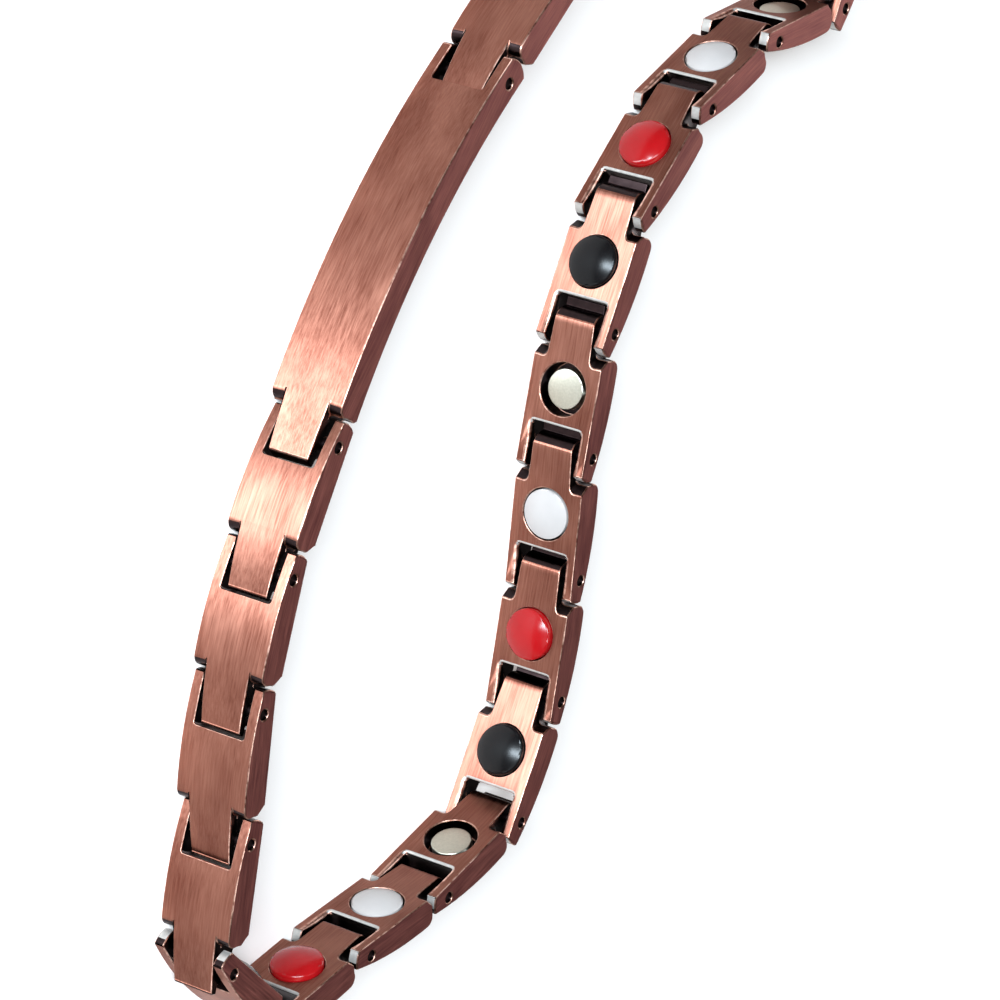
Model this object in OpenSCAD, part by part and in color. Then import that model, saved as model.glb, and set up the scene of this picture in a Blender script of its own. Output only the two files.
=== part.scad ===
// Magnetic bracelet: hinged metal links with a round stone or magnet in each,
// closed by one plain clasp, standing on its edge in an open loop.
// Millimetres. +Z runs up along the hinge pins, +X along the loop's longer way.
// The origin is on the floor, under the middle of the loop's outline.

/* [Links] */
// Distance between the two hinge pins of a link
link_pitch = 8.5; // [8:0.1:11]
// Width of the band, which is its height as it stands
band_width = 5.4; // [4.8:0.1:9]
// Thickness of a link at its crown
link_thickness = 2.1; // [1.9:0.1:3]
// Radius of the arched outer face, along the link
crown_radius = 24; // [18:1:60]
// Distance from the tongue's pin to the crown
crown_offset = 3.8; // [3:0.1:5]

/* [Hinges] */
// Diameter of a hinge pin
pin_diameter = 0.7; // [0.6:0.05:0.9]
// Gap between a pin and its bore
pin_gap = 0.03; // [0.02:0.01:0.08]
// How far a pin's ends lie below the sides of the band
pin_recess = 0.2; // [0.1:0.05:0.4]
// Thickness of each prong of the fork
prong_wall = 0.75; // [0.6:0.05:1.2]
// Radius of a prong's round end about its pin
prong_radius = 1.6; // [1.4:0.05:1.9]
// Gap between a prong's end and the next link's shoulder
shoulder_gap = 0.27; // [0.15:0.01:0.5]
// Side gap between a prong and the root of the tongue
tongue_gap = 0.25; // [0.15:0.05:0.4]
// How much each flank of the tongue draws in towards its free end
tongue_taper = 0.25; // [0:0.05:0.4]
// How far the tongue's round end stands past the pin depth
tongue_round = 0.06; // [0.02:0.02:0.2]
// Gap between the tongue's end and the wall of the fork
fork_gap = 0.84; // [0.3:0.02:1]
// Gap between the lip on the tongue's outer side and the wall of the fork
lip_gap = 0.2; // [0.1:0.02:0.28]
// Length of the bevel on each shoulder, along the link
shoulder_bevel = 0.6; // [0.3:0.05:0.9]
// Radius in the corner between tongue and shoulder
root_radius = 0.35; // [0.2:0.05:0.6]
// Radius on the outer corner of each shoulder
shoulder_round = 0.7; // [0.1:0.05:0.9]

/* [Stones] */
// Diameter of the round pocket in each link
pocket_diameter = 3.6; // [3:0.05:3.8]
// Metal left between the pocket's floor and the crown
pocket_floor = 0.8; // [0.5:0.1:1.2]
// Distance from the tongue's pin to the middle of the pocket
pocket_offset = 4.3; // [4.2:0.05:4.6]
// Gap between a stone and its pocket, at the rim and the floor
stone_gap = 0.04; // [0.02:0.01:0.1]
// Height of the straight side of a red or black stone above the link
stone_lift = 0.3; // [0.1:0.05:0.5]
// Height of the dome on a red or black stone's straight side
dome_height = 0.5; // [0.3:0.05:1]
// Diameter of a white stone, which sits lower and leaves a dark rim
white_diameter = 3.4; // [3:0.05:3.5]
// Height of a white stone's dome above the link
white_height = 0.4; // [0.2:0.05:0.6]
// Diameter of a magnet
magnet_diameter = 2.75; // [2:0.05:3.2]
// How far a magnet's face lies below the link
magnet_recess = 0.3; // [0:0.05:0.6]

/* [Clasp] */
// Distance between the clasp's two hinge pins
clasp_length = 25.5; // [24:0.5:32]
// Radius of the clasp's hollow inner face
clasp_radius = 60; // [45:1:120]

/* [Hidden] */
$fn = 64;
// Sides of the circles whose arcs run along a whole link or the clasp
fine = 360;
// Cuts run this far past the metal
cut = 1;
// Round cuts bite this far into the faces that they meet, because circles that only touch don't cut cleanly
bite = 0.02;
LINKS = 23;
CLASP = LINKS + 1;
// Stones repeat in fours round the band
KINDS = ["magnet", "white_stone", "red_stone", "black_stone"];

// The open stretch runs from one end of the loop to the other.
// Each turn is at the joint after its link, in degrees, negative towards the wrist.
FIRST_OPEN = 5;
FIRST_HEADING = 120;
OPEN_TURNS = [
    -50, -60, -60,
    16.5, 20.5, 21.5, 15, 7.5, -5.5, -18, -44.5, -10.5, 4,
    -55, -55
];

pin_depth = link_thickness * 0.476;
crown_height = link_thickness - pin_depth;
crown_middle = [crown_offset, crown_height - crown_radius];
tongue_radius = pin_depth + tongue_round;
shoulder_radius = prong_radius + shoulder_gap;
fork_radius = tongue_radius + fork_gap;
lip_radius = fork_radius - lip_gap;
fork_width = band_width - 2 * prong_wall;
tongue_width = fork_width - 2 * tongue_gap;
bore_diameter = pin_diameter + 2 * pin_gap;
bevel_depth = link_thickness * 0.32;
shoulder_start = across_circle(shoulder_radius, pin_depth - bevel_depth);
shoulder_end = shoulder_start + shoulder_bevel;
mid = band_width / 2;
pocket_depth = link_thickness - pocket_floor;
stone_radius = pocket_diameter / 2 - stone_gap;
magnet_depth = pocket_depth - stone_gap;

// The clasp's faces are arcs about one middle, on the wrist side
clasp_middle = [clasp_length / 2, -pin_depth - across_circle(clasp_radius, clasp_length / 2)];
clasp_back = clasp_radius + link_thickness;
clasp_crown = clasp_middle[1] + clasp_back;

// Middle of a round corner between the shoulder's circle and the outer face's circle
function round_middle(face_middle, face_radius) =
    let (
        a = shoulder_radius + shoulder_round - bite,
        b = face_radius - shoulder_round + bite,
        apart = norm(face_middle),
        along = (a * a - b * b + apart * apart) / (2 * apart)
    )
    turned([along, across_circle(a, along)], bearing(face_middle));

// Half width of a circle at a height above its middle
function across_circle(r, y) = sqrt(r * r - y * y);
function total(list, count) = count == 0 ? 0 : list[count - 1] + total(list, count - 1);
function ray(angle) = [cos(angle), sin(angle)];
function bearing(v) = atan2(v[1], v[0]);

// Places reached by walking along members of given lengths and headings
function walk(lengths, headings, count) =
    count == 0 ? [0, 0]
    : walk(lengths, headings, count - 1) + lengths[count - 1] * ray(headings[count - 1]);

// Members in walking order: the open stretch, then the arc that holds the clasp
open_count = len(OPEN_TURNS) + 1;
arc_count = LINKS + 1 - open_count;
clasp_place = LINKS - FIRST_OPEN - open_count + 1;
open_lengths = [for (i = [0:open_count - 1]) link_pitch];
arc_lengths = [for (i = [0:arc_count - 1]) i == clasp_place ? clasp_length : link_pitch];
open_headings = [for (i = [0:open_count - 1]) FIRST_HEADING + total(OPEN_TURNS, i)];
open_end = walk(open_lengths, open_headings, open_count);

// The arc turns by the same angle at each joint, and halving finds the angle that closes the loop
function arc_span(turn) =
    walk(arc_lengths, [for (i = [0:arc_count - 1]) turn * i], arc_count);
function closing_turn(tight, slack, steps) =
    steps == 0 ? slack
    : norm(arc_span((tight + slack) / 2)) > norm(open_end)
        ? closing_turn(tight, (tight + slack) / 2, steps - 1)
        : closing_turn((tight + slack) / 2, slack, steps - 1);
arc_turn = closing_turn(-360 / arc_count, 0, 40);
arc_start = bearing(-open_end) - bearing(arc_span(arc_turn));
arc_headings = [for (i = [0:arc_count - 1]) arc_start + arc_turn * i];

lengths = concat(open_lengths, arc_lengths);
headings = concat(open_headings, arc_headings);
pins = [for (i = [0:LINKS]) walk(lengths, headings, i)];

// Outline of a standing link or clasp seen from above, as points enough to find its extent
function outer_face(length, middle, radius) =
    [for (t = [0:0.125:1])
        let (x = t * length)
        [x, middle[1] + across_circle(radius, x - middle[0])]];
function round_end(at, end_radius, lowest, middle, radius) =
    [for (a = [0:3:357])
        let (q = [at, 0] + end_radius * ray(a))
        if (q[1] > lowest && norm(q - middle) < radius) q];
function member_points(i) =
    let (
        is_clasp = i == open_count + clasp_place,
        middle = is_clasp ? clasp_middle : crown_middle,
        radius = is_clasp ? clasp_back : crown_radius
    )
    [for (q = concat(
        outer_face(lengths[i], middle, radius),
        round_end(0, tongue_radius, -pin_depth, middle, radius),
        round_end(0, lip_radius, 0, middle, radius),
        round_end(lengths[i], prong_radius, -pin_depth, middle, radius)
    )) turned(q, headings[i]) + pins[i]];
function turned(q, angle) = q[0] * ray(angle) + q[1] * ray(angle + 90);
outline = [for (i = [0:LINKS]) each member_points(i)];
xs = [for (q = outline) q[0]];
ys = [for (q = outline) q[1]];
centre = [(min(xs) + max(xs)) / 2, (min(ys) + max(ys)) / 2];

// Place in walking order of a link, or of the clasp
function place_of(n) = n == CLASP ? open_count + clasp_place : (n - FIRST_OPEN + CLASP) % CLASP;

// Moves a member from its own frame, tongue pin at the origin, to its place in the loop
module placed(n) {
    i = place_of(n);
    translate([pins[i][0] - centre[0], pins[i][1] - centre[1], 0])
        rotate([0, 0, headings[i]])
            children();
}

// A member's side outline before its outer face is cut: a round end about each pin
module ends_and_web(length, height) {
    circle(r = tongue_radius);
    tongue_lip();
    translate([0, -pin_depth])
        square([length, height]);
    translate([length, 0])
        circle(r = prong_radius);
}

// The tongue reaches further on its outer side, so that no light falls through the joint
module tongue_lip() {
    intersection() {
        circle(r = lip_radius);
        translate([-2 * lip_radius, 0])
            square(2 * lip_radius);
    }
}

module link_side() {
    intersection() {
        translate(crown_middle)
            circle(r = crown_radius, $fn = fine);
        ends_and_web(link_pitch, link_thickness + cut);
        translate([-link_pitch, -pin_depth])
            square([3 * link_pitch, link_thickness + cut]);
    }
}

module clasp_side() {
    intersection() {
        difference() {
            translate(clasp_middle)
                circle(r = clasp_back, $fn = fine);
            translate(clasp_middle)
                circle(r = clasp_radius, $fn = fine);
        }
        ends_and_web(clasp_length, clasp_crown + pin_depth + cut);
    }
}

// The tongue seen square on, tapered, with a radius running into each shoulder
module tongue_face() {
    root = tongue_width / 2;
    tip = root - tongue_taper;
    reach = fork_radius + cut;
    hollow = shoulder_end - root_radius + bite;
    flank = tip + (root - tip) * (hollow + reach) / (shoulder_end + reach);
    for (side = [0, 1])
        translate([0, mid])
            mirror([0, side]) {
                polygon([
                    [-reach, 0],
                    [shoulder_end + cut, 0],
                    [shoulder_end + cut, root],
                    [shoulder_end, root],
                    [-reach, tip]
                ]);
                difference() {
                    translate([hollow, 0])
                        square([root_radius + cut, flank + root_radius]);
                    translate([hollow, flank + root_radius - bite])
                        circle(r = root_radius);
                }
            }
}

// What is cut away outside the round corner of a shoulder
module round_off(face_middle, face_radius) {
    middle = round_middle(face_middle, face_radius);
    to_shoulder = -2 * shoulder_round * ray(bearing(middle));
    to_face = 2 * shoulder_round * ray(bearing(middle - face_middle));
    difference() {
        polygon([
            middle,
            middle + to_shoulder,
            middle + to_shoulder + to_face,
            middle + to_face
        ]);
        translate(middle)
            circle(r = shoulder_round);
    }
}

// Room for the neighbour's two prongs, round the tongue
module prong_room(face_middle, face_radius) {
    slope = shoulder_bevel / bevel_depth;
    difference() {
        translate([0, 0, -cut])
            linear_extrude(band_width + 2 * cut)
                union() {
                    circle(r = shoulder_radius);
                    round_off(face_middle, face_radius);
                    translate([-2 * shoulder_radius, -2 * shoulder_radius])
                        square([2 * shoulder_radius, 4 * shoulder_radius]);
                    polygon([
                        [0, -pin_depth - cut],
                        [shoulder_end + slope * cut, -pin_depth - cut],
                        [0, shoulder_end / slope - pin_depth]
                    ]);
                }
        translate([0, 2 * shoulder_radius, 0])
            rotate([90, 0, 0])
                linear_extrude(4 * shoulder_radius)
                    tongue_face();
    }
}

// Room for the neighbour's tongue, between the prongs
module tongue_room(length) {
    translate([length, 0, prong_wall]) {
        cylinder(r = fork_radius, h = fork_width);
        translate([0, -2 * fork_radius, 0])
            cube([2 * fork_radius, 4 * fork_radius, fork_width]);
    }
}

module pin_bore() {
    translate([0, 0, -cut])
        cylinder(d = bore_diameter, h = band_width + 2 * cut);
}

// A link or the clasp: its side outline drawn across the band, with both hinge ends cut
module hinged_plate(length, face_middle, face_radius) {
    difference() {
        linear_extrude(band_width)
            children();
        prong_room(face_middle, face_radius);
        tongue_room(length);
        pin_bore();
        translate([length, 0, 0])
            pin_bore();
    }
}

// Round things sit on the pocket's floor, their axis across the link's thickness
module in_pocket(above_floor) {
    translate([pocket_offset, pocket_depth - pin_depth - above_floor, mid])
        rotate([90, 0, 0])
            children();
}

module link(n) {
    color("sienna")
        placed(n)
            difference() {
                hinged_plate(link_pitch, crown_middle, crown_radius)
                    link_side();
                in_pocket(0)
                    cylinder(d = pocket_diameter, h = pocket_depth + cut);
            }
}

// A drum with a domed top, which stands proud of the link
module domed_stone(n, tint, radius, lift, dome) {
    height = pocket_depth - stone_gap + lift + dome;
    ball = (radius * radius + dome * dome) / (2 * dome);
    color(tint)
        placed(n)
            in_pocket(stone_gap)
                intersection() {
                    cylinder(r = radius, h = height);
                    translate([0, 0, height - ball])
                        sphere(r = ball);
                }
}

module magnet(n) {
    color("silver")
        placed(n)
            in_pocket(stone_gap)
                cylinder(d = magnet_diameter, h = magnet_depth - magnet_recess);
}

module set_in(n) {
    kind = KINDS[n % 4];
    if (kind == "magnet") magnet(n);
    if (kind == "white_stone")
        domed_stone(n, "whitesmoke", white_diameter / 2, 0, white_height);
    if (kind == "red_stone")
        domed_stone(n, "firebrick", stone_radius, stone_lift, dome_height);
    if (kind == "black_stone")
        domed_stone(n, [0.12, 0.12, 0.13], stone_radius, stone_lift, dome_height);
}

module clasp() {
    color("sienna")
        placed(CLASP)
            hinged_plate(clasp_length, clasp_middle, clasp_back)
                clasp_side();
}

module hinge_pins() {
    color("dimgray")
        for (n = [1:CLASP])
            placed(n)
                translate([0, 0, pin_recess])
                    cylinder(d = pin_diameter, h = band_width - 2 * pin_recess);
}

function number(n) = n < 10 ? str("0", n) : str(n);
link_names = [for (n = [1:LINKS]) str("link_", number(n))];
stone_names = [for (n = [1:LINKS]) str(KINDS[n % 4], "_", number(n))];

for (n = [1:LINKS]) {
    link(n);
    set_in(n);
}
clasp();
hinge_pins();
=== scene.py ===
# %% [markdown]
# A magnetic bracelet: hinged copper-coloured links that stand on edge in an open loop. The solids come
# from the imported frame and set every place. This script models the metal and the stones again with soft
# edges and real finishes, and hangs each piece on the solid that it stands for.

# %% Load the frame
from math import asin, atan2, cos, degrees, hypot, pi, radians, sin, sqrt

import bpy
import numpy as np
from mathutils import Matrix, Vector
from mathutils.bvhtree import BVHTree


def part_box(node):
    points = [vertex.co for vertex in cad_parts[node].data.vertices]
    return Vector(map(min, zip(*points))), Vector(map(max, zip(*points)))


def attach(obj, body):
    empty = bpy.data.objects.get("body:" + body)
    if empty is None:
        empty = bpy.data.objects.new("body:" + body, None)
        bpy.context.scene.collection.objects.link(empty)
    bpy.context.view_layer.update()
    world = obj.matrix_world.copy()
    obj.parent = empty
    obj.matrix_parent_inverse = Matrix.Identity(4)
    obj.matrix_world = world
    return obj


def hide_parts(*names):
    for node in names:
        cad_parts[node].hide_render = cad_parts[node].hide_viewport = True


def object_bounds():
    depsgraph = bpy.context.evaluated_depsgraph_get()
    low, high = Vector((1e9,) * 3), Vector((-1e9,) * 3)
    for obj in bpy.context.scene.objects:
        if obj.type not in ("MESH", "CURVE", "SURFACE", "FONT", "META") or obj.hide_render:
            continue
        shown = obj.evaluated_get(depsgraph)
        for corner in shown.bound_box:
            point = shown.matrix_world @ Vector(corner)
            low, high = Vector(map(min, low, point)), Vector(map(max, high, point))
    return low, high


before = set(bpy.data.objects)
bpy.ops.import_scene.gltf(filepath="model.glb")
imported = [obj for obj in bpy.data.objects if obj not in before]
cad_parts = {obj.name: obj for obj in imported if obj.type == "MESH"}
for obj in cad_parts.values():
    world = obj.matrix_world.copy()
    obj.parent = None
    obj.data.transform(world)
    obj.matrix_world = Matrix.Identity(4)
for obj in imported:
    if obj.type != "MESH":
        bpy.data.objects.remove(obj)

CAD_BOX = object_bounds()
MM = 0.001
print("solids span", [round((h - l) / MM, 1) for l, h in zip(*CAD_BOX)], "mm")

# %% [markdown]
# The camera comes first, because it decides how much detail each face needs. The picture was taken with a
# long lens from 32 degrees above the table, and turned on its side afterwards, so the camera is rolled.

# %% Camera
AIM = Vector((8.2, 5.1, 2.7)) * MM
CAMERA_DISTANCE = 308 * MM
CAMERA_AZIMUTH = radians(-10.2)
CAMERA_ELEVATION = radians(31.7)
CAMERA_ROLL = radians(-106.9)
CAMERA_LENS = 169.3
SENSOR_WIDTH = 36
NEAREST_SEEN = 10 * MM


def camera_axes():
    """Right, up and forward of a level camera at the picture's azimuth and elevation."""
    forward = Vector((
        sin(CAMERA_AZIMUTH) * cos(CAMERA_ELEVATION),
        cos(CAMERA_AZIMUTH) * cos(CAMERA_ELEVATION),
        -sin(CAMERA_ELEVATION),
    ))
    right = Vector((cos(CAMERA_AZIMUTH), -sin(CAMERA_AZIMUTH), 0))
    return right, right.cross(forward), forward


def add_camera():
    """Aims a long lens at the middle of the picture and rolls it about the line of sight."""
    right, up, forward = camera_axes()
    x = right * cos(CAMERA_ROLL) - up * sin(CAMERA_ROLL)
    y = right * sin(CAMERA_ROLL) + up * cos(CAMERA_ROLL)
    turn = Matrix((x, y, -forward)).transposed().to_4x4()
    bpy.ops.object.camera_add()
    camera = bpy.context.object
    camera.name = "picture_camera"
    camera.matrix_world = Matrix.Translation(AIM - forward * CAMERA_DISTANCE) @ turn
    camera.data.lens = CAMERA_LENS
    camera.data.sensor_width = SENSOR_WIDTH
    camera.data.clip_start = NEAREST_SEEN
    bpy.context.scene.camera = camera
    return camera


add_camera()
print("camera looks down at", round(degrees(CAMERA_ELEVATION), 1), "degrees")

# %% [markdown]
# Every link sits between two hinge pins, so the pins in the frame say where each link goes. A pin's middle
# is found from its own corners, and the pin that two neighbours share is the one inside both their boxes.

# %% Places of the links
LINKS = 23
LINK_NODES = [f"link_{n:02d}" for n in range(1, LINKS + 1)]
CHAIN = LINK_NODES + ["clasp"]
PIN_SPREAD = 1.05


def pin_middles():
    """Middle of each hinge pin in plan, in mm. Corners closer than PIN_SPREAD belong to one pin."""
    found = []
    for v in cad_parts["hinge_pins"].data.vertices:
        spot = Vector(v.co[:2]) / MM
        group = next((g for g in found if (g[0] - spot).length < PIN_SPREAD), None)
        if group is None:
            found.append([spot])
        else:
            group.append(spot)
    return [
        Vector([(min(p[k] for p in g) + max(p[k] for p in g)) / 2 for k in (0, 1)])
        for g in found
    ]


def outside(spot, node):
    """How far a spot lies outside a node's box in plan, in mm."""
    low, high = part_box(node)
    return sum(max(low[k] / MM - spot[k], spot[k] - high[k] / MM, 0) for k in (0, 1))


def shared_pin(pins, one, other):
    """The pin that lies inside both nodes' boxes, or nearest to them."""
    return min(pins, key=lambda p: outside(p, one) + outside(p, other))


PINS = pin_middles()
FORK_PIN = {
    name: shared_pin(PINS, name, CHAIN[(i + 1) % len(CHAIN)]) for i, name in enumerate(CHAIN)
}
TONGUE_PIN = {name: FORK_PIN[CHAIN[i - 1]] for i, name in enumerate(CHAIN)}
BAND_WIDTH = (CAD_BOX[1][2] - CAD_BOX[0][2]) / MM
PITCH = (FORK_PIN["link_10"] - TONGUE_PIN["link_10"]).length
CLASP_LENGTH = (FORK_PIN["clasp"] - TONGUE_PIN["clasp"]).length
print(len(PINS), "pins; pitch", round(PITCH, 2), "mm; clasp", round(CLASP_LENGTH, 2), "mm")

# %% [markdown]
# A link is milled from a small arched plate, so it is modelled as a machinist would make it: a blank is
# sliced from a big cylinder, trimmed to a round end about each pin, and cut with rounded tools. It is done in
# millimetres, at a thousand times its size, because cuts a hundredth of a millimetre deep need the room.

# %% Sizes of a link, in mm
THICKNESS = 2.1
PIN_DEPTH = 0.476 * THICKNESS
CROWN_RADIUS = 24.0
CROWN_OFFSET = 3.8
PRONG_WALL = 0.75
PRONG_RADIUS = 1.6
PRONG_CLEARANCE = 0.27
SHOULDER_RADIUS = PRONG_RADIUS + PRONG_CLEARANCE
SHOULDER_ROUND = 0.7
TONGUE_RADIUS = PIN_DEPTH + 0.06
FORK_RADIUS = TONGUE_RADIUS + 0.84
LIP_CLEARANCE = 0.2
LIP_RADIUS = FORK_RADIUS - LIP_CLEARANCE
FORK_WIDTH = BAND_WIDTH - 2 * PRONG_WALL
TONGUE_CLEARANCE = 0.25
TONGUE_ROOT = FORK_WIDTH / 2 - TONGUE_CLEARANCE
TONGUE_TAPER = 0.25
ROOT_RADIUS = 0.35
FORK_CORNER = 0.18
BEVEL_LENGTH = 0.6
BEVEL_DEPTH = 0.32 * THICKNESS
ROUND_OVER = 0.27
BORE_RADIUS = 0.38
POCKET_RADIUS = 1.8
POCKET_FLOOR = 0.8
POCKET_DEPTH = THICKNESS - POCKET_FLOOR
POCKET_OFFSET = 4.3
CLASP_HOLLOW = 60.0
EDGE = 0.08
STRAY = 0.09
SLIVER = 0.02
CLOSE = 0.01
ARC_SAG = 0.03
OVER = 1.0
MID = BAND_WIDTH / 2
print("a link is", THICKNESS, "mm thick and", round(BAND_WIDTH, 2), "mm wide")

# %% [markdown]
# A script has no eyes to pick a face with, so a few helpers stand in for the hand: they start a block or a
# drum, select by place or normal, round the edges that were picked, slice, and cut one shape with another.
# A boolean is used for the cuts because a milling cutter works the same way: it takes away its own shape.

# %% Blocks and drums


def clear_selection():
    """Leaves edit mode and deselects everything, because an operator acts on all that is selected."""
    if bpy.context.object and bpy.context.object.mode != "OBJECT":
        bpy.ops.object.mode_set(mode="OBJECT")
    bpy.ops.object.select_all(action="DESELECT")


def pick(obj):
    """Makes one object the only one that operators act on."""
    clear_selection()
    obj.select_set(True)
    bpy.context.view_layer.objects.active = obj


def settle(obj):
    """Puts the object's place, turn and size into its mesh."""
    pick(obj)
    bpy.ops.object.transform_apply(location=True, rotation=True, scale=True)
    return obj


def block(low, high):
    """A box between two corners."""
    clear_selection()
    middle = [(a + b) / 2 for a, b in zip(low, high)]
    bpy.ops.mesh.primitive_cube_add(size=1, location=middle)
    box = bpy.context.object
    box.scale = [b - a for a, b in zip(low, high)]
    return settle(box)


def drum(radius, low, high, at=(0, 0), sides=64):
    """An upright cylinder from one height to another."""
    clear_selection()
    bpy.ops.mesh.primitive_cylinder_add(
        vertices=sides, radius=radius, depth=high - low, location=(at[0], at[1], (low + high) / 2)
    )
    return settle(bpy.context.object)


print("blocks and drums come in mm")

# %% [markdown]
# By hand one would click the edges and faces to work on. Here a test on their place or normal picks them in
# object mode, where the flags can be set, and the operators then run on the picked ones in edit mode.

# %% Selecting, rounding and slicing


def select_where(obj, kind, test):
    """Selects the vertices, edges or faces that pass a test, and leaves the object in edit mode."""
    pick(obj)
    bpy.ops.object.mode_set(mode="EDIT")
    bpy.ops.mesh.select_mode(type=kind)
    bpy.ops.mesh.select_all(action="DESELECT")
    bpy.ops.object.mode_set(mode="OBJECT")
    things = {"VERT": obj.data.vertices, "EDGE": obj.data.edges, "FACE": obj.data.polygons}[kind]
    for thing in things:
        thing.select = test(thing)
    bpy.ops.object.mode_set(mode="EDIT")


def round_edges(obj, radius, steps, test):
    """Rounds the edges whose two ends both pass a test."""
    corners = obj.data.vertices
    select_where(obj, "EDGE", lambda e: all(test(corners[i].co) for i in e.vertices))
    bpy.ops.mesh.bevel(offset=radius, segments=steps, affect="EDGES")
    bpy.ops.object.mode_set(mode="OBJECT")
    return obj


def slice_off(obj, point, normal):
    """Cuts away what lies behind a plane and closes the cut."""
    pick(obj)
    bpy.ops.object.mode_set(mode="EDIT")
    bpy.ops.mesh.select_all(action="SELECT")
    bpy.ops.mesh.bisect(plane_co=point, plane_no=normal, use_fill=True, clear_inner=True)
    bpy.ops.object.mode_set(mode="OBJECT")
    return obj


print("edges are picked by place and rounded in edit mode")

# %% [markdown]
# A milled part can be built up by pulling faces, or cut from a solid like the real one. Cutting is chosen:
# each tool is a solid of its own, and an exact boolean keeps the walls true where curved cuts meet.

# %% Modifiers and cuts


def finish_with(obj, kind, **settings):
    """Adds a modifier, sets it and applies it."""
    pick(obj)
    modifier = obj.modifiers.new(kind.lower(), kind)
    for name, value in settings.items():
        setattr(modifier, name, value)
    bpy.ops.object.modifier_apply(modifier=modifier.name)
    return obj


def combine(obj, tool, how):
    """Joins, cuts or trims an object with a tool, which is used up."""
    finish_with(obj, "BOOLEAN", object=tool, operation=how, solver="EXACT")
    bpy.data.objects.remove(tool)
    return obj


def joined(first, *others):
    """Adds the other shapes to the first one."""
    for other in others:
        combine(first, other, "UNION")
    return first


print("cuts are exact booleans")

# %% [markdown]
# The real plate is stamped from a strip and arched. Bending a flat plate would need many segments and leave
# them uneven, so the blank's outer face is a slice of a big drum, which is a true arch. It is then trimmed
# to a round end about each pin, and the tongue keeps a lip that closes the joint on the outer side.

# %% Blanks
SIDES_PER_MM = 15
ROUND_SIDES = 96


def sliced_blank(length, middle, radius, floor):
    """A slice of a big drum, longer than the piece at both ends."""
    blank = drum(radius, 0, BAND_WIDTH, at=middle, sides=int(radius * SIDES_PER_MM))
    slice_off(blank, (0, floor, 0), (0, 1, 0))
    slice_off(blank, (-TONGUE_RADIUS - OVER, 0, 0), (1, 0, 0))
    return slice_off(blank, (length + PRONG_RADIUS + OVER, 0, 0), (-1, 0, 0))


def round_ended(blank, length):
    """Trims a blank to the round ends about its two pins."""
    tall = 3 * THICKNESS
    web = block((0, -tall, -OVER), (length, tall, BAND_WIDTH + OVER))
    tongue = drum(TONGUE_RADIUS, -OVER, BAND_WIDTH + OVER)
    lip = slice_off(drum(LIP_RADIUS, -OVER, BAND_WIDTH + OVER, sides=ROUND_SIDES), (0, 0, 0), (0, 1, 0))
    prong = drum(PRONG_RADIUS, -OVER, BAND_WIDTH + OVER, at=(length, 0), sides=ROUND_SIDES)
    return combine(blank, joined(web, tongue, lip, prong), "INTERSECT")


print("a blank's arch has a radius of", CROWN_RADIUS, "mm")

# %% [markdown]
# The shoulders beside the tongue follow the round ends of the next link's prongs, so a drum about the pin
# cuts them. The tool is tilted a little, because the tongue narrows towards its end, and its rim is rounded,
# which leaves a radius where the tongue meets the plate. The corner at the arch is rounded by a square tool
# with a quarter circle taken out of it.

# %% Shoulder cutter


def corner_middle(face_middle, face_radius):
    """Middle of the round corner between a shoulder and the arched face."""
    a = SHOULDER_RADIUS + SHOULDER_ROUND
    b = face_radius - SHOULDER_ROUND
    apart = hypot(*face_middle)
    along = (a * a - b * b + apart * apart) / (2 * apart)
    aside = sqrt(a * a - along * along)
    bearing = atan2(face_middle[1], face_middle[0])
    return Vector((
        along * cos(bearing) - aside * sin(bearing),
        along * sin(bearing) + aside * cos(bearing),
    ))


def shoulder_tool(low, high, inner_rim, face_middle, face_radius):
    """What mills one side of the tongue, with a rounded rim that leaves a radius at the tongue's root."""
    def near_rim(co):
        return abs(co.z - inner_rim) < ROOT_RADIUS

    tool = drum(SHOULDER_RADIUS, low, high, sides=ROUND_SIDES)
    round_edges(tool, ROOT_RADIUS, 4, near_rim)
    start = sqrt(SHOULDER_RADIUS ** 2 - (PIN_DEPTH - BEVEL_DEPTH) ** 2)
    slope = atan2(BEVEL_LENGTH, BEVEL_DEPTH)
    reach = SHOULDER_RADIUS
    wedge = block((-reach, -reach, low), (0, reach, high))
    round_edges(wedge, ROOT_RADIUS, 4, near_rim)
    wedge.rotation_euler = (0, 0, slope)
    wedge.location = (start, BEVEL_DEPTH - PIN_DEPTH, 0)
    settle(wedge)
    middle = corner_middle(face_middle, face_radius)
    square = block((middle.x - 2 * OVER, middle.y, low), (middle.x, middle.y + 2 * OVER, high))
    combine(square, drum(SHOULDER_ROUND, low - OVER, high + OVER, at=middle, sides=40), "DIFFERENCE")
    clear_end = block((-4 * OVER, -4 * OVER, low), (0, 4 * OVER, high))
    joined(tool, wedge, clear_end, square)
    tilt = asin(TONGUE_TAPER / (start + BEVEL_LENGTH + FORK_RADIUS + OVER))
    turn = Matrix.Rotation(tilt if inner_rim < MID else -tilt, 4, "Y")
    root = Matrix.Translation((start + BEVEL_LENGTH, 0, inner_rim))
    tool.matrix_world = root @ turn @ root.inverted()
    return settle(tool)


print("shoulders clear the prongs by", round(SHOULDER_RADIUS - PRONG_RADIUS, 2), "mm")

# %% [markdown]
# The gap between the prongs is a drum about the other pin, drawn out to the plate's end. Its wall is a
# slice of that drum, so the next tongue turns in it without touching, and its corners are rounded as a
# cutter's are.

# %% Fork cutter


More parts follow.
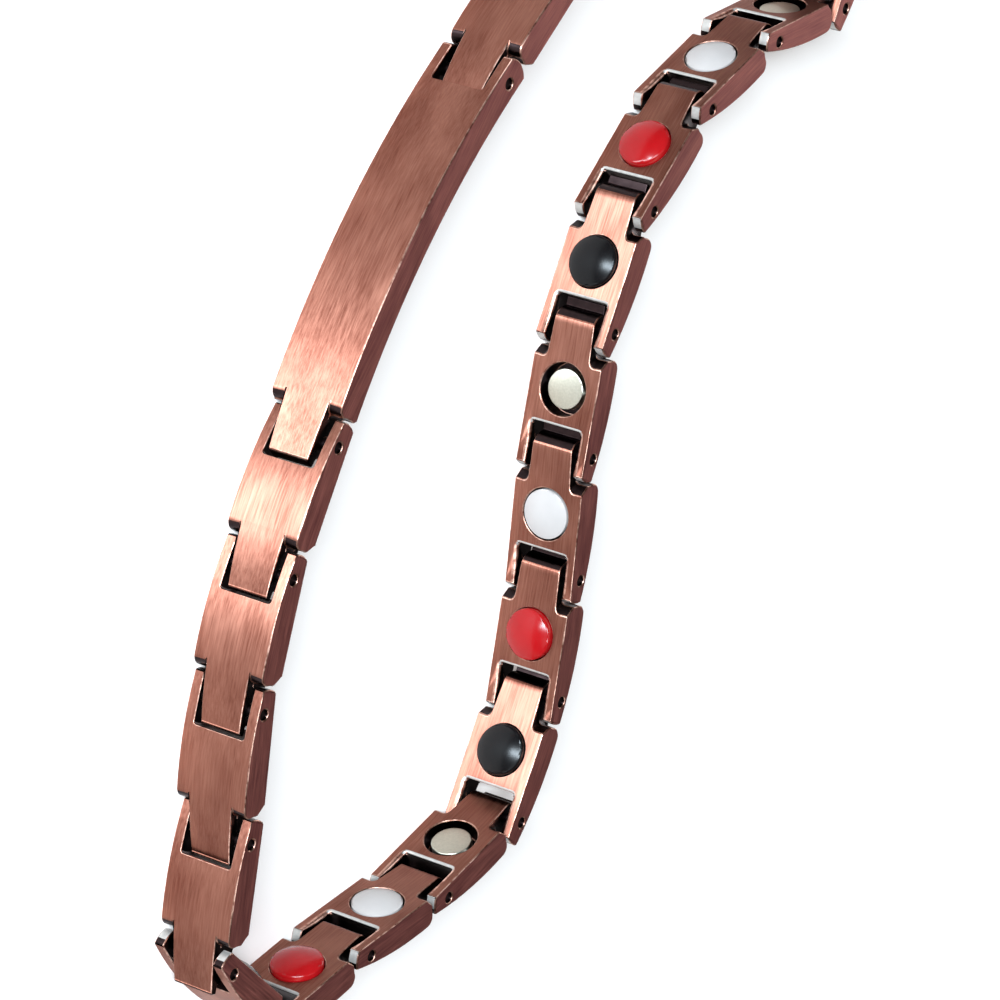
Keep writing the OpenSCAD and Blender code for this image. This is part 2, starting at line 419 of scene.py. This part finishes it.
def fork_tool(length):
    """What mills the gap between the prongs, with rounded corners at its end."""
    low, high = PRONG_WALL, BAND_WIDTH - PRONG_WALL
    tool = drum(FORK_RADIUS, low, high, at=(length, 0), sides=32)
    for rim in (low, high):
        round_edges(tool, FORK_CORNER, 3, lambda co: abs(co.z - rim) < CLOSE)
    return joined(tool, block((length, -3 * OVER, low), (length + 4 * OVER, 3 * OVER, high)))


print("fork gap", round(FORK_WIDTH, 2), "mm")

# %% [markdown]
# The plate is cut tool by tool, as on a mill. Cuts that meet leave slivers a hundredth of a millimetre
# long, and a bevel goes wrong at them, so they are merged first. Wear has rounded the wrist edge of the
# fork's mouth the most, and that edge is rounded alone, in edit mode, before the rest.

# %% Milled plates


def mill(blank, length, face_middle, face_radius):
    """Cuts both sides of the tongue, the gap of the fork and the two pin bores."""
    root_low, root_high = MID - TONGUE_ROOT, MID + TONGUE_ROOT
    combine(blank, shoulder_tool(-OVER, root_low, root_low, face_middle, face_radius), "DIFFERENCE")
    high = BAND_WIDTH + OVER
    combine(blank, shoulder_tool(root_high, high, root_high, face_middle, face_radius), "DIFFERENCE")
    combine(blank, fork_tool(length), "DIFFERENCE")
    for at in (0, length):
        bore = drum(BORE_RADIUS, -OVER, BAND_WIDTH + OVER, at=(at, 0), sides=24)
        combine(blank, bore, "DIFFERENCE")
    return blank


def clean_cuts(plate):
    """Merges the slivers that the cuts leave, so that the edges can be rounded evenly."""
    pick(plate)
    bpy.ops.object.mode_set(mode="EDIT")
    bpy.ops.mesh.select_all(action="SELECT")
    bpy.ops.mesh.remove_doubles(threshold=SLIVER)
    bpy.ops.object.mode_set(mode="OBJECT")
    return plate


def round_over(plate, length):
    """Rounds the wrist edge of the fork's mouth, which gets a pale painted highlight."""
    wall = length - sqrt(FORK_RADIUS ** 2 - PIN_DEPTH ** 2)
    reach = FORK_WIDTH / 2 + EDGE / 2
    return round_edges(plate, ROUND_OVER, 6, lambda co: (
        co.x > wall - SLIVER and abs(co.y + PIN_DEPTH) < CLOSE and abs(co.z - MID) < reach
    ))


def drill_pocket(plate):
    """Sinks the round pocket into the wrist face."""
    clear_selection()
    bpy.ops.mesh.primitive_cylinder_add(
        vertices=64, radius=POCKET_RADIUS, depth=POCKET_DEPTH + OVER, rotation=(pi / 2, 0, 0),
        location=(POCKET_OFFSET, POCKET_DEPTH - PIN_DEPTH - (POCKET_DEPTH + OVER) / 2, MID),
    )
    return combine(plate, settle(bpy.context.object), "DIFFERENCE")


print("pocket", 2 * POCKET_RADIUS, "mm wide and", round(POCKET_DEPTH, 2), "mm deep")

# %% [markdown]
# Antique copper is plated dark and brushed back on the broad faces. The cut walls are given a near-black
# colour, which is painted shade of the recesses. Every edge gets a paler copper in worn-looking patches,
# which is also a painted highlight, and the rounded wall of the fork's mouth gets a pale grey painted
# highlight. Each face gets its finish by where it lies, and a Bevel modifier then grows the soft edges in the
# edge finish. Where a narrow cut ends, the modifier can throw a corner far out, so such corners are put back
# afterwards.

# %% Finish of each face
BRUSHED, WORN_AND_HIGHLIGHT_EDGE, PAINTED_SHADE_WALL, SIDE, PAINTED_HIGHLIGHT_EDGE = range(5)
FLAT = 0.999
TO_WRIST = -0.9
LEANING = 0.1
UNDERSIDE = 0.3
ROUND_END_SAG = 0.1
SHARP_ANGLE = radians(32)


def finish_of(face, face_middle, face_radius):
    """Which finish a face of the plate has. The wrist side looks towards -Y, the fork towards +X."""
    centre, normal = face.center, face.normal
    if abs(normal.z) > FLAT and not CLOSE < centre.z < BAND_WIDTH - CLOSE:
        return SIDE
    from_middle = hypot(centre.x - face_middle[0], centre.y - face_middle[1])
    if normal.y > 0.5 and abs(from_middle - face_radius) < ARC_SAG:
        return BRUSHED
    if normal.y < TO_WRIST and abs(from_middle - CLASP_HOLLOW) < ARC_SAG:
        return BRUSHED
    on_fork_side = centre.x > POCKET_OFFSET + POCKET_RADIUS and centre.y < 0
    # Round-overs on the fork's side get painted highlights: pale grey where they face the fork, paler copper
    # elsewhere.
    if on_fork_side and -FLAT < normal.y < -LEANING:
        return PAINTED_HIGHLIGHT_EDGE if normal.x > LEANING else WORN_AND_HIGHLIGHT_EDGE
    if normal.y < TO_WRIST and centre.y < BEVEL_DEPTH - PIN_DEPTH:
        return BRUSHED
    # Everything else, the cut walls and ends, is near-black: painted shade of the recesses.
    return PAINTED_SHADE_WALL


def shape_of(plate):
    """The plate's surface as it is now, to measure distances from."""
    corners = [corner.co.copy() for corner in plate.data.vertices]
    return BVHTree.FromPolygons(corners, [tuple(face.vertices) for face in plate.data.polygons])


def put_back(plate, sharp):
    """Puts the corners that the rounding threw off the sharp shape back among their neighbours."""
    corners = plate.data.vertices
    strays = {corner.index for corner in corners if sharp.find_nearest(corner.co)[3] > STRAY}
    beside = {index: [] for index in strays}
    for edge in plate.data.edges:
        for end, other in (edge.vertices, reversed(edge.vertices)):
            if end in strays and other not in strays:
                beside[end].append(corners[other].co.copy())
    for index in sorted(strays):
        corners[index].co = sum(beside[index], Vector()) / len(beside[index])
    return len(strays)


def soften(plate, face_middle, face_radius):
    """Gives each face its finish, and rounds every sharp edge a little."""
    sharp = shape_of(plate)
    plate.data.materials.clear()
    for finish in FINISHES:
        plate.data.materials.append(finish)
    for face in plate.data.polygons:
        face.material_index = finish_of(face, face_middle, face_radius)
        face.use_smooth = True
    # The bevels take the edge finish, a paler copper painted as a highlight.
    finish_with(
        plate, "BEVEL", width=EDGE, segments=1, limit_method="ANGLE", angle_limit=SHARP_ANGLE,
        harden_normals=True, material=WORN_AND_HIGHLIGHT_EDGE, use_clamp_overlap=False,
    )
    print(put_back(plate, sharp), "stray corners put back")
    # The lip's faces under the tongue's end are painted near-black as the shade in the joint.
    for face in plate.data.polygons:
        lip_in_painted_shade = face.center.x < 0 and face.center.y > -ROUND_END_SAG and face.normal.y < UNDERSIDE
        if lip_in_painted_shade:
            face.material_index = PAINTED_SHADE_WALL
    return plate


print("edges are", EDGE, "mm soft")

# %% [markdown]
# Colours are chosen as a screen shows them and made linear for the nodes. Sockets are named by keywords, so
# that a node's values read like the labels in the shader editor.

# %% Sockets of a node


def spelled(node, key):
    """The socket's name or number for a keyword such as base_color or i1."""
    if key[0] == "i" and key[1:].isdigit():
        return int(key[1:])
    plain = key.replace("_", " ").lower()
    return next(i for i, s in enumerate(node.inputs) if s.name.lower() == plain and s.enabled)


def shade(red, green, blue):
    """A colour as a screen shows it, 0 to 255, made linear."""
    return tuple(
        [c / 255 / 12.92 if c <= 10 else ((c / 255 + 0.055) / 1.055) ** 2.4 for c in (red, green, blue)]
    ) + (1.0,)


print("mid grey is", round(shade(128, 128, 128)[0], 3), "in linear light")

# %% [markdown]
# Nodes can be wired one by one, which is hard to read back. Instead, one class makes the nodes of a finish,
# and a second one wraps a socket and turns + - * into Math nodes, so that a finish reads like a formula.

# %% Shader expressions


class Finish:
    """A material's nodes, and the one method that adds a node to them."""

    def __init__(self, name):
        self.material = bpy.data.materials.new(name)
        self.material.use_nodes = True
        self.tree = self.material.node_tree
        self.tree.nodes.clear()
        self.output = self.tree.nodes.new("ShaderNodeOutputMaterial")

    def node(self, kind, out=0, settings=None, **values):
        """Adds a node, sets it, feeds its sockets and gives back one of its outputs."""
        made = self.tree.nodes.new("ShaderNode" + kind)
        for key, value in (settings or {}).items():
            setattr(made, key, value)
        for key, value in values.items():
            self.feed(made.inputs[spelled(made, key)], value)
        return Wire(self, made.outputs[out])

    def feed(self, socket, value):
        if isinstance(value, Wire):
            self.tree.links.new(value.socket, socket)
        else:
            socket.default_value = value

    def surface(self, **values):
        """Ends the finish in a Principled shader and gives back its material."""
        shader = self.node("BsdfPrincipled", **values)
        self.tree.links.new(shader.socket, self.output.inputs["Surface"])
        return self.material


class Wire:
    """A socket that can be added, subtracted and multiplied."""

    def __init__(self, finish, socket):
        self.finish, self.socket = finish, socket

    def maths(self, operation, a, b):
        made = self.finish.tree.nodes.new("ShaderNodeMath")
        made.operation = operation
        self.finish.feed(made.inputs[0], a)
        self.finish.feed(made.inputs[1], b)
        return Wire(self.finish, made.outputs[0])

    def __add__(self, other):
        return self.maths("ADD", self, other)

    def __radd__(self, other):
        return self.maths("ADD", other, self)

    def __sub__(self, other):
        return self.maths("SUBTRACT", self, other)

    def __rsub__(self, other):
        return self.maths("SUBTRACT", other, self)

    def __mul__(self, other):
        return self.maths("MULTIPLY", self, other)

    def __rmul__(self, other):
        return self.maths("MULTIPLY", other, self)


print("materials are written as formulas")

# %% [markdown]
# Brushing leaves fine scratches along the band. A stretched noise gives them, and a bump makes them catch
# the light. The patterns follow each link, not the room: the links store their own coordinates, in
# millimetres, in an attribute called grain, and each copy shifts its grain, so no two links match.
# Scratches along the band also spread a highlight across it, which anisotropic roughness does.

# %% Brushed copper
SCRATCH_DEPTH = 0.02 * MM
QUARTER_TURN = 0.25


def grain_of(finish, scale):
    """The piece's own coordinates in mm, stretched by a scale for each axis."""
    grain = finish.node("Attribute", out="Vector", settings={"attribute_name": "grain"})
    return finish.node("VectorMath", settings={"operation": "MULTIPLY"}, i0=grain, i1=scale)


def noise(finish, scale, detail, **values):
    """A cloud of noise on the piece's own coordinates."""
    return finish.node("TexNoise", vector=grain_of(finish, scale), scale=1.0, detail=detail, **values)


def blend_colours(finish, factor, one, other):
    """A Mix node for colours. Its colour sockets are inputs 6 and 7 and output 2."""
    return finish.node(
        "Mix", out=2, settings={"data_type": "RGBA"}, i0=factor, i6=one, i7=other
    )


def brushed_copper(name, light, dark, roughness, anisotropic):
    """Copper whose tone, gloss and bump follow the same fine scratches."""
    finish = Finish(name)
    fine = noise(finish, (0.35, 9, 9), 4.0, roughness=0.65)
    broad = noise(finish, (0.22, 0.5, 0.5), 2.0)
    streaks = finish.node("MapRange", i0=fine, i1=0.3, i2=0.7)
    cloud = finish.node("MapRange", i0=broad, i1=0.35, i2=0.65)
    tone = blend_colours(finish, streaks * 0.65 + cloud * 0.35, dark, light)
    bump = finish.node("Bump", strength=0.25, distance=SCRATCH_DEPTH, height=fine)
    return finish.surface(
        base_color=tone, metallic=1.0, roughness=roughness - 0.08 + 0.16 * streaks,
        anisotropic=anisotropic, anisotropic_rotation=QUARTER_TURN, normal=bump,
    )


print("scratches run along the band")

# %% [markdown]
# The cut walls are near-black, which is painted shade of the recesses. The edges are a paler copper in
# worn-looking patches, which is also a painted highlight. The rounded wall of the fork's mouth is a pale
# grey, which is a painted highlight. A soft cloud of noise sets the patches in all three.

# %% Painted shade on the walls, painted highlights on the edges


def painted_shade_metal():
    """Near-black metal, painted shade of the recesses."""
    finish = Finish("metal in painted shade")
    cloud = noise(finish, (1.5, 1.5, 1.5), 2.0)
    # Near-black metal as painted shade of the recesses.
    tone = blend_colours(finish, cloud, shade(36, 28, 29), shade(62, 49, 49))
    return finish.surface(
        base_color=tone, metallic=1.0, roughness=0.26 + 0.12 * cloud,
        anisotropic=0.9, anisotropic_rotation=QUARTER_TURN,
    )


def worn_and_highlight_edge():
    """Copper painted pale on the edges as a highlight, in worn-looking patches."""
    finish = Finish("worn copper edge with painted highlight")
    cloud = noise(finish, (2.5, 2.5, 2.5), 3.0)
    highlight_patches = finish.node("MapRange", i0=cloud, i1=0.35, i2=0.6)
    # The pale stop is a painted highlight on the edges; the patches vary as worn copper would.
    tone = blend_colours(finish, highlight_patches, shade(140, 92, 78), shade(208, 164, 146))
    return finish.surface(
        base_color=tone, metallic=1.0, roughness=0.42,
        anisotropic=0.9, anisotropic_rotation=QUARTER_TURN,
    )


def painted_highlight_edge():
    """Pale grey painted on the fork's round-over as a highlight."""
    finish = Finish("pale painted highlight edge")
    cloud = noise(finish, (2.5, 2.5, 2.5), 3.0)
    # A pale grey painted as a highlight on the fork's round-over.
    tone = blend_colours(finish, cloud, shade(147, 143, 138), shade(203, 199, 194))
    return finish.surface(base_color=tone, metallic=0.75, roughness=0.5)


FINISHES = [
    brushed_copper(
        "brushed copper", shade(182, 125, 106), shade(117, 65, 52), roughness=0.46, anisotropic=0.92
    ),
    worn_and_highlight_edge(),
    painted_shade_metal(),
    brushed_copper(
        "brushed side", shade(208, 130, 119), shade(148, 81, 80), roughness=0.42, anisotropic=0.0
    ),
    painted_highlight_edge(),
]
print(len(FINISHES), "metal finishes")

# %% [markdown]
# All 23 links are the same stamping, so one is modelled. The clasp is longer and hollow towards the wrist,
# so a second big drum cuts its inner face, and it has no pocket. The picture doesn't show how it opens,
# and it stays one plain piece.

# %% Link and clasp


def store_grain(obj):
    """Keeps each corner's own coordinates, so that a pattern can follow the piece once it is placed."""
    grain = obj.data.attributes.new("grain", "FLOAT_VECTOR", "POINT")
    grain.data.foreach_set("vector", np.array([v.co for v in obj.data.vertices]).ravel())
    return obj


def make_link():
    """One link in its own coordinates, in mm: the tongue's pin at the origin, +X to the fork's pin."""
    middle = (CROWN_OFFSET, THICKNESS - PIN_DEPTH - CROWN_RADIUS)
    plate = round_ended(sliced_blank(PITCH, middle, CROWN_RADIUS, -PIN_DEPTH), PITCH)
    mill(plate, PITCH, middle, CROWN_RADIUS)
    drill_pocket(round_over(clean_cuts(plate), PITCH))
    return store_grain(soften(plate, middle, CROWN_RADIUS))


def make_clasp():
    """The clasp in the same coordinates as a link."""
    half = CLASP_LENGTH / 2
    middle = (half, -PIN_DEPTH - sqrt(CLASP_HOLLOW ** 2 - half ** 2))
    radius = CLASP_HOLLOW + THICKNESS
    plate = sliced_blank(CLASP_LENGTH, middle, radius, -3 * THICKNESS)
    sides = int(CLASP_HOLLOW * SIDES_PER_MM)
    combine(plate, drum(CLASP_HOLLOW, -OVER, BAND_WIDTH + OVER, at=middle, sides=sides), "DIFFERENCE")
    clean_cuts(mill(round_ended(plate, CLASP_LENGTH), CLASP_LENGTH, middle, radius))
    return store_grain(soften(plate, middle, radius))


link = make_link()
clasp = make_clasp()
print("link has", len(link.data.polygons), "faces and the clasp", len(clasp.data.polygons))

# %% [markdown]
# A copy goes from the link's own coordinates to its two pins, and shrinks from millimetres to metres, in its
# mesh, so that the object itself stays at the origin. Each piece then rides on the frame's one body and
# takes the place of its solid.

# %% Placing the links
GRAIN_SHIFT = 13.7


def placed_copy(template, name, node, number):
    """A copy with its own mesh, moved from the link's own coordinates to its place in the loop."""
    mesh = template.data.copy()
    piece = bpy.data.objects.new(name, mesh)
    bpy.context.scene.collection.objects.link(piece)
    start, end = TONGUE_PIN[node], FORK_PIN[node]
    heading = atan2(end.y - start.y, end.x - start.x)
    place = Matrix.Translation((start.x, start.y, 0)) @ Matrix.Rotation(heading, 4, "Z")
    mesh.transform(Matrix.Scale(MM, 4) @ place)
    grain = mesh.attributes["grain"]
    shifted = np.empty(len(mesh.vertices) * 3)
    grain.data.foreach_get("vector", shifted)
    grain.data.foreach_set("vector", shifted + number * GRAIN_SHIFT)
    return piece


def stands_for(piece, node):
    """Hangs a piece on the body in place of its solid."""
    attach(piece, "root")
    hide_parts(node)


for number, node in enumerate(LINK_NODES, 1):
    stands_for(placed_copy(link, f"milled_{node}", node, number), node)
stands_for(placed_copy(clasp, "milled_clasp", "clasp", 0), "clasp")
for template in (link, clasp):
    bpy.data.objects.remove(template)
print("placed", len(CHAIN), "metal pieces")

# %% [markdown]
# The stones are small drums with a domed top. A dome could be drawn as a curve and spun, but a slice of a
# ball is the same shape with fewer steps, and its flat side is pulled down to make the drum that fills the
# pocket. The red and black stones stand proud of the face. The white ones lie low.

# %% Domed stones
KINDS = ("magnet", "white_stone", "red_stone", "black_stone")
STONE_GAP = 0.04
STONE_RADIUS = POCKET_RADIUS - STONE_GAP
STONE_LIFT = 0.3
DOME_HEIGHT = 0.5
STONE_RIM = 0.3
WHITE_RADIUS = 1.7
WHITE_HEIGHT = 0.4
WHITE_RIM = 0.12


def make_dome(radius, lift, dome_height, rounding):
    """A stone with its axis upright. z = 0 is the link's face."""
    ball = (radius ** 2 + dome_height ** 2) / (2 * dome_height)
    top = lift + dome_height
    clear_selection()
    bpy.ops.mesh.primitive_uv_sphere_add(
        segments=64, ring_count=96, radius=ball, location=(0, 0, top - ball)
    )
    dome = settle(bpy.context.object)
    slice_off(dome, (0, 0, lift), (0, 0, 1))
    select_where(dome, "FACE", lambda f: f.normal.z < -0.9)
    bpy.ops.mesh.extrude_region_move(
        TRANSFORM_OT_translate={"value": (0, 0, STONE_GAP - POCKET_DEPTH - lift)}
    )
    bpy.ops.object.mode_set(mode="OBJECT")
    return finish_with(
        dome, "BEVEL", width=rounding, segments=8, limit_method="ANGLE", angle_limit=radians(25)
    )


print("domes are", DOME_HEIGHT, "and", WHITE_HEIGHT, "mm high")

# %% [markdown]
# A magnet is a plain nickel disc, a little narrower than its pocket, so a dark ring shows round it. Its rim
# is rounded by a Bevel modifier. Stones and discs are modelled upright and then turned to face the wrist.

# %% Magnets and seats
MAGNET_RADIUS = 1.375
MAGNET_RECESS = 0.3
MAGNET_RIM = 0.08


def make_disc():
    """A magnet with its axis upright, at its depth in the pocket."""
    disc = drum(MAGNET_RADIUS, STONE_GAP - POCKET_DEPTH, -MAGNET_RECESS)
    return finish_with(
        disc, "BEVEL", width=MAGNET_RIM, segments=3, limit_method="ANGLE", angle_limit=radians(40)
    )


def seat(obj):
    """Turns an upright stone to face the wrist and sets it in the pocket's place in the link."""
    obj.matrix_world = (
        Matrix.Translation((POCKET_OFFSET, -PIN_DEPTH, MID)) @ Matrix.Rotation(pi / 2, 4, "X")
    )
    settle(obj)
    for face in obj.data.polygons:
        face.use_smooth = True
    pick(obj)
    bpy.ops.object.shade_smooth_by_angle(angle=radians(30))
    return store_grain(obj)


print("magnets lie", MAGNET_RECESS, "mm deep")

# %% [markdown]
# The stones are glossy glass and ceramic: an even colour with a faint cloud in it. The magnets are nickel
# plated and matt, with fine specks.

# %% Stone and nickel finishes


def stone(name, light, dark, roughness, shine):
    """A glossy even colour with a faint cloud."""
    finish = Finish(name)
    cloud = noise(finish, (0.5, 0.5, 0.5), 3.0)
    specks = noise(finish, (6, 6, 6), 2.0)
    tone = blend_colours(finish, cloud, dark, light)
    return finish.surface(
        base_color=tone, roughness=roughness - 0.03 + 0.06 * specks, specular_ior_level=shine
    )


def nickel():
    """Matt plating with fine specks."""
    finish = Finish("matt nickel")
    specks = noise(finish, (7, 7, 7), 3.0)
    tone = blend_colours(finish, specks, shade(176, 172, 156), shade(212, 206, 190))
    bump = finish.node("Bump", strength=0.2, distance=SCRATCH_DEPTH, height=specks)
    return finish.surface(
        base_color=tone, metallic=1.0, roughness=0.36 + 0.15 * specks, normal=bump,
        anisotropic=0.8, anisotropic_rotation=QUARTER_TURN,
    )


STONE_FINISH = {
    "magnet": nickel(),
    "white_stone": stone(
        "white ceramic", shade(163, 157, 154), shade(151, 145, 142), roughness=0.35, shine=0.3
    ),
    "red_stone": stone("red stone", shade(150, 14, 18), shade(122, 9, 12), roughness=0.2, shine=0.3),
    "black_stone": stone("black stone", shade(13, 12, 13), shade(7, 6, 7), roughness=0.26, shine=0.22),
}
print(len(STONE_FINISH), "finishes for what the links hold")

# %% [markdown]
# Round the loop the pockets hold a white stone, a red one, a black one and a magnet, over and over. One of
# each shape is modelled, and copied to the links that hold it.

# %% Setting the stones
proud = seat(make_dome(STONE_RADIUS, STONE_LIFT, DOME_HEIGHT, STONE_RIM))
low = seat(make_dome(WHITE_RADIUS, 0, WHITE_HEIGHT, WHITE_RIM))
disc = seat(make_disc())
SHAPES = {"magnet": disc, "white_stone": low, "red_stone": proud, "black_stone": proud}
for number, node in enumerate(LINK_NODES, 1):
    kind = KINDS[number % 4]
    piece = placed_copy(SHAPES[kind], f"set_{kind}_{number:02d}", node, number)
    piece.data.materials.append(STONE_FINISH[kind])
    stands_for(piece, f"{kind}_{number:02d}")
for template in (proud, low, disc):
    bpy.data.objects.remove(template)
print("set", LINKS, "stones and magnets")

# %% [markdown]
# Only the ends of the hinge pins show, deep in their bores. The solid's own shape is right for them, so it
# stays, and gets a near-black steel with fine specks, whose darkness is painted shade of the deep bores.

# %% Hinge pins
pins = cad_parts["hinge_pins"]


def painted_shade_steel():
    """The pins' steel, near-black as painted shade of the bores. It reads Object coordinates, because the
    solid has no grain attribute.
    """
    finish = Finish("steel in painted bore shade")
    place = finish.node("TexCoord", out="Object")
    specks = finish.node("TexNoise", vector=place, scale=4000.0, detail=2.0)
    # Near-black steel as painted shade of the deep bores.
    tone = blend_colours(finish, specks, shade(30, 24, 26), shade(60, 48, 48))
    return finish.surface(base_color=tone, metallic=1.0, roughness=0.3 + 0.2 * specks)


pins.data.materials.clear()
pins.data.materials.append(painted_shade_steel())
print("pins are", pins.data.materials[0].name)

# %% [markdown]
# The bracelet was taken on plain white. A floor far larger than the piece gives soft shadows and no edge in
# the picture.

# %% Floor


def add_floor():
    """A wide white table under the bracelet."""
    clear_selection()
    bpy.ops.mesh.primitive_plane_add(size=3)
    floor = bpy.context.object
    floor.name = "table"
    finish = Finish("pale table")
    cloud = finish.node("TexNoise", vector=finish.node("TexCoord", out="Object"), scale=3.0)
    tone = blend_colours(finish, cloud, shade(255, 246, 240), shade(255, 249, 244))
    floor.data.materials.append(finish.surface(base_color=tone, roughness=0.6))
    return floor


add_floor()
print("floor is pale and wide")

# %% [markdown]
# One tall softbox near the camera does most of the work: brushed metal spreads it up and down, but only the
# faces that point its way flash bright, so its place decides which links are pale. Weak boxes behind keep the
# far sides from going black. The Standard view keeps the white as white as the picture's.

# %% Lights


def add_light(name, bearing, elevation, distance, size, power, colour=(1, 1, 1)):
    """A soft light that faces the bracelet. Bearing 0 is towards -Y, on the camera's side.

    Bearing and elevation are in degrees, distance and size in metres, and power in watts.
    """
    out = Vector((
        sin(radians(bearing)) * cos(radians(elevation)),
        -cos(radians(bearing)) * cos(radians(elevation)),
        sin(radians(elevation)),
    ))
    clear_selection()
    bpy.ops.object.light_add(type="AREA")
    light = bpy.context.object
    light.name = name
    light.data.shape = "RECTANGLE"
    light.data.size, light.data.size_y = size
    light.data.energy = power
    light.data.color = colour
    light.matrix_world = (
        Matrix.Translation(AIM + out * distance) @ out.to_track_quat("Z", "Y").to_matrix().to_4x4()
    )
    return light


def add_world(strength):
    """A faint even light from all sides."""
    world = bpy.data.worlds.new("studio")
    world.use_nodes = True
    background = world.node_tree.nodes["Background"]
    background.inputs["Color"].default_value = (1.0, 0.98, 0.97, 1.0)
    background.inputs["Strength"].default_value = strength
    bpy.context.scene.world = world


bpy.context.scene.view_settings.view_transform = "Standard"
add_world(0.12)
add_light("strip softbox", 6, 27, 0.8, size=(0.2, 0.6), power=20, colour=(0.77, 0.9, 1.0))
add_light("side softbox", 48, 30, 0.8, size=(0.4, 0.4), power=0.6)
add_light("top softbox", 0, 88, 0.9, size=(0.5, 0.5), power=1)
add_light("right back softbox", 135, 16, 0.8, size=(0.5, 0.3), power=0.6)
add_light("left back softbox", 220, 16, 0.8, size=(0.5, 0.3), power=1.5)
print("lights on")
